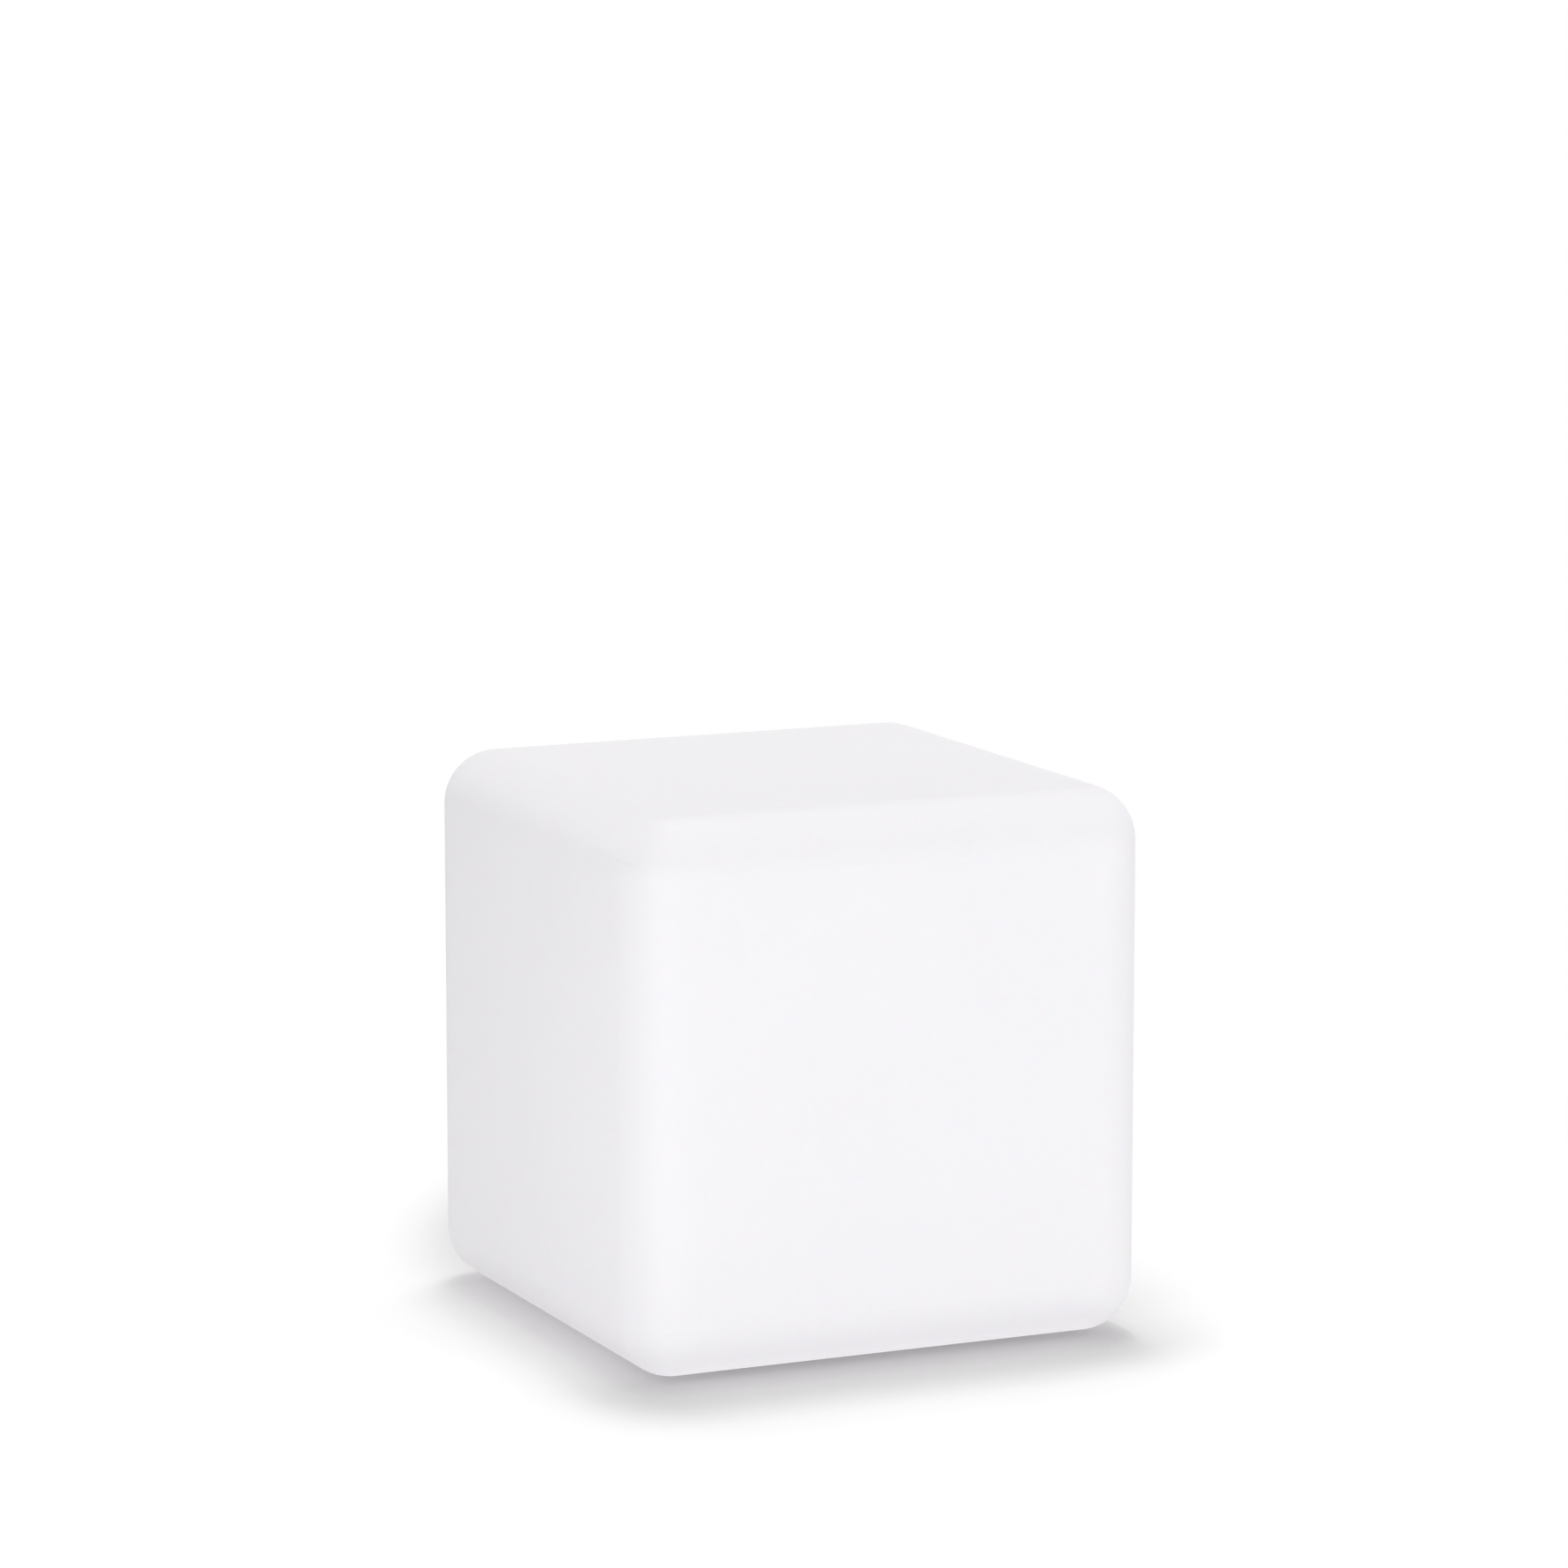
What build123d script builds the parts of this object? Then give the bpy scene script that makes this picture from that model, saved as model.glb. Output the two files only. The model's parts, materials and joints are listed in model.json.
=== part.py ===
"""Cube floor lamp for the garden, in millimetres.

A rotomoulded plastic cube drops over a base tray that stands on four rubber
feet. The tray's central dome carries the cable gland, the terminal block and
a steel bracket with an E27 lampholder and its LED bulb.
+Z is up and the origin is on the ground, under the middle of the cube. The
front is at -Y and the mains cord leaves under the back edge, at +Y.
"""

from build123d import *
import os
from math import pi, radians, sqrt, tan

# The cube: its edge, the radius of all its edges, and the moulded wall
CUBE = 400
CUBE_R = 40
WALL = 4

# The ground gap that the feet leave under the cube and the tray
LIFT = 4

# Base tray, which sits in a recess under the cube
TRAY = 300
TRAY_R = 30
TRAY_T = 6
RECESS_GAP = 1
GASKET_T = 2
OPENING = 250
OPENING_R = 25
COLLAR_GAP = 1
COLLAR_T = 3
COLLAR_H = 10
RIB_T = 3
RIB_H = 8
GASKET_EDGE = 3
GASKET_HOLE_R = 3

# Dome in the middle of the tray, over the well that the cord bends in
DOME_TOP = 60
DOME_WALL = 4
DOME_FOOT_R = 59
DOME_TOP_R = 54
DOME_FILLET = 5

# Blind screw bosses under the dome's ceiling, for the bracket and the terminal block
BLIND_BOSS_H = 10
BLIND_BOSS_END = 3
BRACKET_BOSS_R = 5
BRACKET_HOLE_R = 2
BLOCK_BOSS_R = 4
BLOCK_HOLE_R = 1.3
BLIND_TIP_GAP = 1

# Groove for a cord of up to 7.5 mm, under the tray's and the cube's back edge
GROOVE_W = 10
GROOVE_TOP = 8
GROOVE_FILLET = 3

# Rubber feet
FOOT_R = 12
FOOT_SPOT = 125
FOOT_SOCKET = 2
FOOT_CHAMFER = 1
FOOT_DIMPLE_R = 3
FOOT_DIMPLE = 2

# M5 screws that hold the cube down on the tray, and their moulded-in inserts
SCREW_NEAR = 60
SCREW_FAR = 138
SCREW_R = 2.5
SCREW_HEAD_R = 4.6
SCREW_HEAD_T = 3
SCREW_HEAD_FILLET = 1.2
SCREW_KEY_AF = 3
SCREW_KEY_DEPTH = 1.8
SCREW_TIP = 22
SCREW_TIP_CHAMFER = 0.6
WASHER_T = 0.8
WASHER_R = 5
WASHER_GAP = 0.2
COUNTERBORE_R = 5.5
COUNTERBORE_SEAT = 2
INSERT_AF = 9
INSERT_LENGTH = 12
INSERT_BORE_R = 2.8
BOSS_R = 8
BOSS_COVER = 4
BOSS_DRAFT = 3

# Cable gland M16 x 1.5 in the dome's ceiling, behind the lampholder
GLAND_Y = 28
GLAND_R = 8
GLAND_HOLE_R = 8.2
GLAND_AF = 22
GLAND_CLAMP_R = 8.9
GLAND_THROAT_R = 7
GLAND_PASSAGE_R = 4.6
GLAND_SEAL_T = 1
GLAND_HEX_T = 4.5
GLAND_CLAMP_LENGTH = 10.5
GLAND_SHANK_PAST = 2
GLAND_WASHER_EDGE = 0.5
LOCKNUT_T = 5
CORD_BORE_R = 3.6
GLAND_SLEEVE_HEAD = 1.5
GLAND_SLEEVE_NOSE = 2.5
GLAND_SLEEVE_LIP = 1.2
NUT_GAP = 2.5
NUT_PAST_CLAMP = 4
NUT_NOSE = 5
NUT_NOSE_R = 6.4
NUT_NOSE_MID_R = 9.6
NUT_NOSE_MID = 1.6
NUT_BORE_R = 9.2
NUT_MOUTH_R = 4.4
NUT_CONE_LOW_R = 5.3
NUT_CONE_HIGH_R = 7.5
NUT_CONE_LOW_DROP = 0.4
NUT_CONE_HIGH_DROP = 0.6
NUT_MOUTH_DROP = 1

# Gap between pieces that move past each other, and between pieces screwed together
RUN = 0.3
SCREWED = 0.05

# Lampholder bracket, folded from 2 mm steel sheet
BRACKET_T = 2
BRACKET_W = 24
BRACKET_TOP = 88
BRACKET_LEG = 21
BRACKET_REACH = 38
BRACKET_BEND = 3
BRACKET_CORNER_R = 4
BRACKET_SCREW_X = 30
BRACKET_SLOT_R = 2.2
BRACKET_NIPPLE_GAP = 0.2
PAN_HEAD_R = 4
PAN_HEAD_T = 2.6
PAN_HEAD_FILLET = 1.2
PAN_SCREW_R = 1.95
CROSS_LENGTH = 4.4
CROSS_WIDTH = 0.9
CROSS_DEPTH = 1.4

# Threaded nipple M10 x 1 that joins the lampholder to the bracket
NIPPLE_R = 5
NIPPLE_BORE_R = 3.75
NIPPLE_LOW = 79
NIPPLE_HIGH = 96
NIPPLE_NUT_AF = 14
NIPPLE_NUT_T = 3
TOOTHED_T = 1
TOOTHED_R = 8
TOOTH_COUNT = 12
TOOTH_GAP_DEPTH = 1.2
TOOTH_GAP_WIDTH = 1.8

# E27 lampholder and bulb: heights are above the bulb's lowest point
HOLDER_R = 19
HOLDER_CORE_R = 16.3
HOLDER_CAVITY_R = 16.5
HOLDER_NECK_R = 9
HOLDER_NECK_H = 3
HOLDER_CONE_H = 8
HOLDER_LEDGE = 1.5
HOLDER_THREAD_ROOM = 0.5
HOLDER_FLOOR_T = 1.5
CORE_LOW = 110
CORE_HIGH = 118
TERMINAL_X = 9
TERMINAL_W = 6
TERMINAL_DEPTH = 8
TERMINAL_DROP = 4
TERMINAL_SUNK = 3
TERMINAL_HOLE = 5
TERMINAL_SCREW_UP = 2
TERMINAL_SCREW_R = 1.25
TERMINAL_HEAD_R = 1.9
TERMINAL_HEAD_T = 1.6
TERMINAL_SLOT = 0.6
TERMINAL_SLOT_DEPTH = 0.8
LEAF_T = 0.6
LEAF_W = 6
CENTRE_LEAF_X = (-11, -5, -2.5, 3)
CENTRE_LEAF_BEND = 1.2
SIDE_LEAF_X = (7.5, 13.6, 11.6)
SIDE_LEAF_BEND = 0.8
BULB_TIP = 121
THREAD_PITCH = 25.4 / 7
BULB_ROOT_R = 12
BULB_THREAD_R = 1.1
BULB_THREAD_LOW = 6.4
BULB_THREAD_TURNS = 4.2
SLEEVE_BORE_R = 13.4
SLEEVE_THREAD_R = 0.85
SLEEVE_THREAD_CENTRE = 13.45
SLEEVE_THREAD_TURNS = 3.7
SLEEVE_SHOULDER = 4
SLEEVE_TOP = 24
SLEEVE_CHAMFER = 1
SLEEVE_MOUTH_CHAMFER = 1.4
GRIP_FLUTES = 24
FLUTE_R = 1
FLUTE_OUT = 0.4
FLUTE_END = 3
TIP_R = 4.8
TIP_MID_R = 2.6
TIP_MID = 0.25
TIP_RIM = 1
TIP_T = 2.2
INSULATOR_LOW = 0.8
INSULATOR_LOW_R = 6.5
INSULATOR_HIGH_R = 10.5
INSULATOR_INSIDE = 2
CAP_BORE_R = 10.8
CAP_EDGE = 4.4
CAP_EDGE_CHAMFER = 0.3
CAP_EDGE_RISE = 0.5
CAP_RIM = 25.1
CAP_FLARE = 1.2
HOUSING_LIP = 1.4
HOUSING_SKIRT = 1.9
HOUSING_SKIRT_H = 5
HOUSING_BORE_R = 11.5
HOUSING_NECK_H = 8
HOUSING_RIM_T = 1.6
DRIVER_UP = 4
DRIVER_W = 16
DRIVER_T = 1.6
DRIVER_H = 34
CAPACITOR_R = 4
CAPACITOR_Y = 4.8
CAPACITOR_UP = 3
CAPACITOR_H = 13
COIL_X = 9
COIL_DEPTH = 7
COIL_Y = 4.3
COIL_UP = 19
COIL_H = 8
BOARD_R = 24
BOARD_T = 1.6
BOARD_DROP = 4
BOARD_LEDGE = 2
BOARD_GAP = 0.1
BOARD_HOLE_X = 6
BOARD_HOLE_R = 1.2
LED_SIZE = 3.2
LED_T = 0.8
LED_RING_R = 16
LED_RING_COUNT = 10
GLOBE_R = 30
GLOBE_T = 1.4
GLOBE_CENTRE = 80
GLOBE_LOW = 68

# Terminal block and the two leads from it to the lampholder
BLOCK_Y = -30
BLOCK_X = 20
BLOCK_DEPTH = 16
BLOCK_H = 12
BLOCK_CORNER_R = 1.5
BLOCK_TOWER_R = 3.2
BLOCK_TOWER_H = 3
BLOCK_SHAFT_R = 1.7
BLOCK_FIXING_R = 1.4
POLE_X = 5
POLE_Z = 6
CLAMP_R = 2.9
CLAMP_BORE_R = 1.6
CLAMP_LENGTH = 13
CLAMP_SCREW_Y = 3.5
CLAMP_SCREW_R = 1.2
CLAMP_THREAD_R = 1.25
CLAMP_SCREW_SUNK = 1
FIXING_HEAD_R = 1.6
FIXING_HEAD_T = 1.2
FIXING_SHANK_R = 1.25
DRIVER_SLOT = 0.5
DRIVER_SLOT_DEPTH = 0.6
LEAD_R = 1.1
LEAD_HOLE_GAP = 0.1
LEAD_X = 1.7
LEAD_BEND_X = 3.5
LEAD_RUNS_Y = (14, 26)
LEAD_BEND_RISE = 4
LEAD_NIPPLE_LOW = 1
LEAD_NIPPLE_HIGH = 4
LEAD_TERMINAL_LOW = 3
LEAD_TERMINAL_IN = 4

# Heights that follow from the ones above
TRAY_TOP = LIFT + TRAY_T
FLANGE_LOW = TRAY_TOP + GASKET_T
FLANGE_HIGH = FLANGE_LOW + WALL
RECESS = TRAY + 2 * RECESS_GAP
RECESS_R = TRAY_R + RECESS_GAP
COLLAR = OPENING - 2 * COLLAR_GAP
COLLAR_R = OPENING_R - COLLAR_GAP
CEILING = DOME_TOP - DOME_WALL
BOSS_TOP = FLANGE_LOW + INSERT_LENGTH + BOSS_COVER

SCREW_SPOTS = [
    (x, y)
    for far, near in ((SCREW_FAR, SCREW_NEAR), (SCREW_NEAR, SCREW_FAR))
    for x in (-far, far)
    for y in (-near, near)
]
BRACKET_SPOTS = [(-BRACKET_SCREW_X, 0), (BRACKET_SCREW_X, 0)]
FEET = {
    "foot_front_left": (-FOOT_SPOT, -FOOT_SPOT),
    "foot_front_right": (FOOT_SPOT, -FOOT_SPOT),
    "foot_back_left": (-FOOT_SPOT, FOOT_SPOT),
    "foot_back_right": (FOOT_SPOT, FOOT_SPOT),
}


def level(height, x=0, y=0):
    """Horizontal sketch plane at this height, centred on x and y."""
    return Plane.XY.offset(height).move(Location((x, y, 0)))


def facing_back(y):
    """Upright sketch plane that looks along +Y, with its own y axis up."""
    return Plane(origin=(0, y, 0), x_dir=(-1, 0, 0), z_dir=(0, 1, 0))


def write(piece, name):
    """Label a finished piece and write its file."""
    piece.part.label = name
    export_step(piece.part, f"parts/{name}.step")


os.makedirs("parts", exist_ok=True)

# Cube shell

with BuildPart() as cavity:
    with BuildSketch(level(LIFT + WALL)):
        Rectangle(CUBE - 2 * WALL, CUBE - 2 * WALL)
    extrude(amount=CUBE - 2 * WALL)
    fillet(cavity.edges(), CUBE_R - WALL)

with BuildPart() as cube_shell:
    with BuildSketch(level(LIFT)):
        Rectangle(CUBE, CUBE)
    extrude(amount=CUBE)
    fillet(cube_shell.edges(), CUBE_R)
    add(cavity.part, mode=Mode.SUBTRACT)
    # The wall steps up around the recess and forms the flange at its top
    with BuildSketch(level(LIFT)):
        RectangleRounded(RECESS + 2 * WALL, RECESS + 2 * WALL, RECESS_R + WALL)
    extrude(amount=FLANGE_HIGH - LIFT)
    with BuildSketch(level(FLANGE_LOW)):
        with Locations(*SCREW_SPOTS):
            Circle(BOSS_R)
    extrude(amount=BOSS_TOP - FLANGE_LOW, taper=BOSS_DRAFT)
    # The wall also steps up over the cord groove
    groove_cover = GROOVE_TOP + WALL
    groove_exit = CUBE / 2 - CUBE_R + sqrt(CUBE_R**2 - (CUBE_R - WALL) ** 2)
    with BuildSketch(facing_back(RECESS / 2)):
        with Locations((0, (LIFT + WALL + groove_cover) / 2)):
            Rectangle(GROOVE_W + 2 * WALL, groove_cover - LIFT - WALL)
    extrude(amount=groove_exit - RECESS / 2)
    with BuildSketch(level(LIFT)):
        RectangleRounded(RECESS, RECESS, RECESS_R)
    extrude(amount=FLANGE_LOW - LIFT, mode=Mode.SUBTRACT)
    with BuildSketch(level(LIFT)):
        RectangleRounded(OPENING, OPENING, OPENING_R)
    extrude(amount=FLANGE_HIGH - LIFT, mode=Mode.SUBTRACT)
    with BuildSketch(level(FLANGE_LOW)):
        with Locations(*SCREW_SPOTS):
            RegularPolygon(INSERT_AF / 2, 6, major_radius=False)
    extrude(amount=INSERT_LENGTH, mode=Mode.SUBTRACT)
    with BuildSketch(facing_back(RECESS / 2 - 1)) as groove:
        Rectangle(GROOVE_W, 2 * GROOVE_TOP)
        fillet(groove.vertices(), GROOVE_FILLET)
    extrude(amount=CUBE_R, mode=Mode.SUBTRACT)
write(cube_shell, "cube_shell")

with BuildPart() as shell_inserts:
    with BuildSketch(level(FLANGE_LOW)):
        with Locations(*SCREW_SPOTS):
            RegularPolygon(INSERT_AF / 2, 6, major_radius=False)
        with Locations(*SCREW_SPOTS):
            Circle(INSERT_BORE_R, mode=Mode.SUBTRACT)
    extrude(amount=INSERT_LENGTH)
write(shell_inserts, "shell_inserts")

# Base tray

dome_slope = (DOME_FOOT_R - DOME_TOP_R) / (DOME_TOP - TRAY_TOP)
well_mouth_r = DOME_FOOT_R - DOME_WALL
well_top_r = well_mouth_r - dome_slope * (CEILING - LIFT)
blind_boss_low = CEILING - BLIND_BOSS_H
blind_hole_low = blind_boss_low + BLIND_BOSS_END
blind_tip = blind_hole_low + BLIND_TIP_GAP

with BuildPart() as base_tray:
    with BuildSketch(level(LIFT)):
        RectangleRounded(TRAY, TRAY, TRAY_R)
    extrude(amount=TRAY_T)
    # Collar that locates the cube's opening, braced by ribs to the dome
    with BuildSketch(level(TRAY_TOP)):
        RectangleRounded(COLLAR, COLLAR, COLLAR_R)
        RectangleRounded(
            COLLAR - 2 * COLLAR_T, COLLAR - 2 * COLLAR_T, COLLAR_R - COLLAR_T, mode=Mode.SUBTRACT
        )
    extrude(amount=COLLAR_H)
    with BuildSketch(level(TRAY_TOP)):
        for turn in (0, 45, 90, 135):
            Rectangle(2 * COLLAR, RIB_T, rotation=turn)
        RectangleRounded(COLLAR - COLLAR_T, COLLAR - COLLAR_T, COLLAR_R, mode=Mode.INTERSECT)
    extrude(amount=RIB_H)
    # Dome
    with BuildSketch(Plane.XZ):
        with BuildLine():
            Polyline(
                (0, TRAY_TOP), (DOME_FOOT_R, TRAY_TOP), (DOME_TOP_R, DOME_TOP), (0, DOME_TOP), close=True
            )
        make_face()
    revolve(axis=Axis.Z)
    dome_rim = base_tray.edges().filter_by(GeomType.CIRCLE).group_by(Axis.Z)[-1]
    fillet(dome_rim, DOME_FILLET)
    # Well under the dome
    with BuildSketch(Plane.XZ) as well:
        with BuildLine():
            Polyline((0, LIFT), (well_mouth_r, LIFT), (well_top_r, CEILING), (0, CEILING), close=True)
        make_face()
        fillet(well.vertices().sort_by(Axis.Y)[-2:].sort_by(Axis.X)[-1], DOME_FILLET)
    revolve(axis=Axis.Z, mode=Mode.SUBTRACT)
    # Blind screw bosses under the ceiling keep the dome watertight
    with BuildSketch(level(blind_boss_low)):
        with Locations(*BRACKET_SPOTS):
            Circle(BRACKET_BOSS_R)
        with Locations((0, BLOCK_Y)):
            Circle(BLOCK_BOSS_R)
    extrude(amount=CEILING - blind_boss_low)
    with BuildSketch(level(blind_hole_low)):
        with Locations(*BRACKET_SPOTS):
            Circle(BRACKET_HOLE_R)
        with Locations((0, BLOCK_Y)):
            Circle(BLOCK_HOLE_R)
    extrude(amount=DOME_TOP - blind_hole_low, mode=Mode.SUBTRACT)
    with BuildSketch(level(CEILING)):
        with Locations((0, GLAND_Y)):
            Circle(GLAND_HOLE_R)
    extrude(amount=DOME_WALL, mode=Mode.SUBTRACT)
    # Cord groove, from the well out under the back edge
    with BuildSketch(facing_back(well_top_r)) as groove:
        Rectangle(GROOVE_W, 2 * GROOVE_TOP)
        fillet(groove.vertices(), GROOVE_FILLET)
    extrude(amount=TRAY / 2 - well_top_r, mode=Mode.SUBTRACT)
    # Sockets for the feet, and stepped holes for the screws
    with BuildSketch(level(LIFT)):
        with Locations(*FEET.values()):
            Circle(FOOT_R)
    extrude(amount=FOOT_SOCKET, mode=Mode.SUBTRACT)
    with BuildSketch(level(LIFT)):
        with Locations(*SCREW_SPOTS):
            Circle(COUNTERBORE_R)
    extrude(amount=TRAY_T - COUNTERBORE_SEAT, mode=Mode.SUBTRACT)
    with BuildSketch(level(LIFT)):
        with Locations(*SCREW_SPOTS):
            Circle(INSERT_BORE_R)
    extrude(amount=TRAY_T, mode=Mode.SUBTRACT)
write(base_tray, "base_tray")

with BuildPart() as base_gasket:
    with BuildSketch(level(TRAY_TOP)):
        outside = TRAY - 2 * GASKET_EDGE
        inside = OPENING + 2 * GASKET_EDGE
        RectangleRounded(outside, outside, TRAY_R - GASKET_EDGE)
        RectangleRounded(inside, inside, OPENING_R - GASKET_EDGE, mode=Mode.SUBTRACT)
        with Locations(*SCREW_SPOTS):
            Circle(GASKET_HOLE_R, mode=Mode.SUBTRACT)
    extrude(amount=GASKET_T)
write(base_gasket, "base_gasket")

for name, spot in FEET.items():
    with BuildPart() as foot:
        with BuildSketch(level(0, *spot)):
            Circle(FOOT_R)
        extrude(amount=LIFT + FOOT_SOCKET)
        chamfer(foot.faces().sort_by(Axis.Z)[0].edges(), FOOT_CHAMFER)
        with BuildSketch(level(0, *spot)):
            Circle(FOOT_DIMPLE_R)
        extrude(amount=FOOT_DIMPLE, mode=Mode.SUBTRACT)
    write(foot, name)

# Screws from below, each with a washer in its counterbore

washer_top = TRAY_TOP - COUNTERBORE_SEAT
head_top = washer_top - WASHER_T

with BuildPart() as base_screws:
    with BuildSketch(level(head_top - SCREW_HEAD_T)):
        with Locations(*SCREW_SPOTS):
            Circle(SCREW_HEAD_R)
    extrude(amount=SCREW_HEAD_T)
    fillet(base_screws.faces().group_by(Axis.Z)[0].edges(), SCREW_HEAD_FILLET)
    with BuildSketch(level(head_top)):
        with Locations(*SCREW_SPOTS):
            Circle(SCREW_R)
    extrude(amount=SCREW_TIP - head_top)
    chamfer(base_screws.faces().group_by(Axis.Z)[-1].edges(), SCREW_TIP_CHAMFER)
    with BuildSketch(level(head_top - SCREW_HEAD_T)):
        with Locations(*SCREW_SPOTS):
            RegularPolygon(SCREW_KEY_AF / 2, 6, major_radius=False)
    extrude(amount=SCREW_KEY_DEPTH, mode=Mode.SUBTRACT)
write(base_screws, "base_screws")

with BuildPart() as screw_washers:
    with BuildSketch(level(head_top)):
        with Locations(*SCREW_SPOTS):
            Circle(WASHER_R)
        with Locations(*SCREW_SPOTS):
            Circle(SCREW_R + WASHER_GAP, mode=Mode.SUBTRACT)
    extrude(amount=WASHER_T)
write(screw_washers, "screw_washers")

# Cable gland, hanging from the dome's ceiling: body, seal under its hexagon,
# locknut above the ceiling, rubber sleeve in its throat, and domed nut below

gland_hex_top = CEILING - GLAND_SEAL_T
gland_hex_low = gland_hex_top - GLAND_HEX_T
gland_clamp_low = gland_hex_low - GLAND_CLAMP_LENGTH
gland_shank_top = DOME_TOP + LOCKNUT_T + GLAND_SHANK_PAST

with BuildPart() as gland_body:
    with BuildSketch(level(gland_clamp_low, 0, GLAND_Y)):
        Circle(GLAND_CLAMP_R)
    extrude(amount=GLAND_CLAMP_LENGTH)
    with BuildSketch(level(gland_hex_low, 0, GLAND_Y)):
        RegularPolygon(GLAND_AF / 2, 6, major_radius=False)
    extrude(amount=GLAND_HEX_T)
    with BuildSketch(level(gland_hex_top, 0, GLAND_Y)):
        Circle(GLAND_R)
    extrude(amount=gland_shank_top - gland_hex_top)
    with BuildSketch(level(gland_clamp_low, 0, GLAND_Y)):
        Circle(GLAND_THROAT_R)
    extrude(amount=GLAND_CLAMP_LENGTH, mode=Mode.SUBTRACT)
    with BuildSketch(level(gland_hex_low, 0, GLAND_Y)):
        Circle(GLAND_PASSAGE_R)
    extrude(amount=gland_shank_top - gland_hex_low, mode=Mode.SUBTRACT)
write(gland_body, "gland_body")

with BuildPart() as gland_washer:
    with BuildSketch(level(gland_hex_top, 0, GLAND_Y)):
        Circle(GLAND_AF / 2 - GLAND_WASHER_EDGE)
        Circle(GLAND_HOLE_R, mode=Mode.SUBTRACT)
    extrude(amount=GLAND_SEAL_T)
write(gland_washer, "gland_washer")

with BuildPart() as gland_locknut:
    with BuildSketch(level(DOME_TOP, 0, GLAND_Y)):
        RegularPolygon(GLAND_AF / 2, 6, major_radius=False)
        Circle(GLAND_R + SCREWED, mode=Mode.SUBTRACT)
    extrude(amount=LOCKNUT_T)
write(gland_locknut, "gland_locknut")

seal_top = gland_hex_low - GLAND_SLEEVE_HEAD
seal_low = gland_clamp_low - GLAND_SLEEVE_NOSE
nut_top = gland_hex_low - NUT_GAP
nut_hex_low = gland_clamp_low - NUT_PAST_CLAMP
nut_low = nut_hex_low - NUT_NOSE

with BuildPart() as gland_seal:
    with BuildSketch(Plane.XZ.offset(-GLAND_Y)):
        with BuildLine():
            Polyline(
                (CORD_BORE_R, seal_low),
                (CORD_BORE_R + GLAND_SLEEVE_LIP, seal_low),
                (GLAND_THROAT_R - RUN, gland_clamp_low),
                (GLAND_THROAT_R - RUN, seal_top),
                (CORD_BORE_R, seal_top),
                close=True,
            )
        make_face()
    revolve(axis=Axis((0, GLAND_Y, 0), (0, 0, 1)))
write(gland_seal, "gland_seal")

with BuildPart() as gland_dome_nut:
    with BuildSketch(level(nut_hex_low, 0, GLAND_Y)):
        RegularPolygon(GLAND_AF / 2, 6, major_radius=False)
    extrude(amount=nut_top - nut_hex_low)
    # Domed nose below the hexagon
    with BuildSketch(Plane.XZ.offset(-GLAND_Y)):
        with BuildLine():
            nose = ThreePointArc(
                (GLAND_AF / 2, nut_hex_low), (NUT_NOSE_MID_R, nut_low + NUT_NOSE_MID), (NUT_NOSE_R, nut_low)
            )
            Polyline(nose @ 1, (0, nut_low), (0, nut_hex_low), nose @ 0)
        make_face()
    revolve(axis=Axis((0, GLAND_Y, 0), (0, 0, 1)))
    # Threaded bore, cone that squeezes the seal, and mouth
    with BuildSketch(Plane.XZ.offset(-GLAND_Y)):
        with BuildLine():
            Polyline(
                (0, nut_low),
                (NUT_MOUTH_R, nut_low),
                (NUT_MOUTH_R, seal_low - NUT_MOUTH_DROP),
                (NUT_CONE_LOW_R, seal_low - NUT_CONE_LOW_DROP),
                (NUT_CONE_HIGH_R, gland_clamp_low - NUT_CONE_HIGH_DROP),
                (NUT_BORE_R, gland_clamp_low - NUT_CONE_HIGH_DROP),
                (NUT_BORE_R, nut_top),
                (0, nut_top),
                close=True,
            )
        make_face()
    revolve(axis=Axis((0, GLAND_Y, 0), (0, 0, 1)), mode=Mode.SUBTRACT)
write(gland_dome_nut, "gland_dome_nut")

# Lampholder bracket with its two screws

sheet_mid = BRACKET_TOP - BRACKET_T / 2
foot_mid = DOME_TOP + BRACKET_T / 2
sheet_foot = DOME_TOP + BRACKET_T

with BuildPart() as holder_bracket:
    with BuildSketch(Plane.XZ):
        with BuildLine() as fold:
            FilletPolyline(
                (-BRACKET_REACH, foot_mid),
                (-BRACKET_LEG, foot_mid),
                (-BRACKET_LEG, sheet_mid),
                (BRACKET_LEG, sheet_mid),
                (BRACKET_LEG, foot_mid),
                (BRACKET_REACH, foot_mid),
                radius=BRACKET_BEND,
            )
        trace(fold.line, BRACKET_T)
    extrude(amount=BRACKET_W / 2, both=True)
    corners = holder_bracket.edges().filter_by(Axis.Z).group_by(Axis.X)
    fillet(corners[0] + corners[-1], BRACKET_CORNER_R)
    with BuildSketch(level(DOME_TOP)):
        with Locations(*BRACKET_SPOTS):
            Circle(BRACKET_SLOT_R)
        Circle(NIPPLE_R + BRACKET_NIPPLE_GAP)
    extrude(amount=BRACKET_TOP - DOME_TOP, mode=Mode.SUBTRACT)
write(holder_bracket, "holder_bracket")

with BuildPart() as bracket_screws:
    with BuildSketch(level(sheet_foot)):
        with Locations(*BRACKET_SPOTS):
            Circle(PAN_HEAD_R)
    extrude(amount=PAN_HEAD_T)
    fillet(bracket_screws.faces().group_by(Axis.Z)[-1].edges(), PAN_HEAD_FILLET)
    with BuildSketch(level(blind_tip)):
        with Locations(*BRACKET_SPOTS):
            Circle(PAN_SCREW_R)
    extrude(amount=sheet_foot - blind_tip)
    with BuildSketch(level(sheet_foot + PAN_HEAD_T)):
        with Locations(*BRACKET_SPOTS):
            Rectangle(CROSS_LENGTH, CROSS_WIDTH)
        with Locations(*BRACKET_SPOTS):
            Rectangle(CROSS_WIDTH, CROSS_LENGTH)
    extrude(amount=-CROSS_DEPTH, mode=Mode.SUBTRACT)
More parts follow.
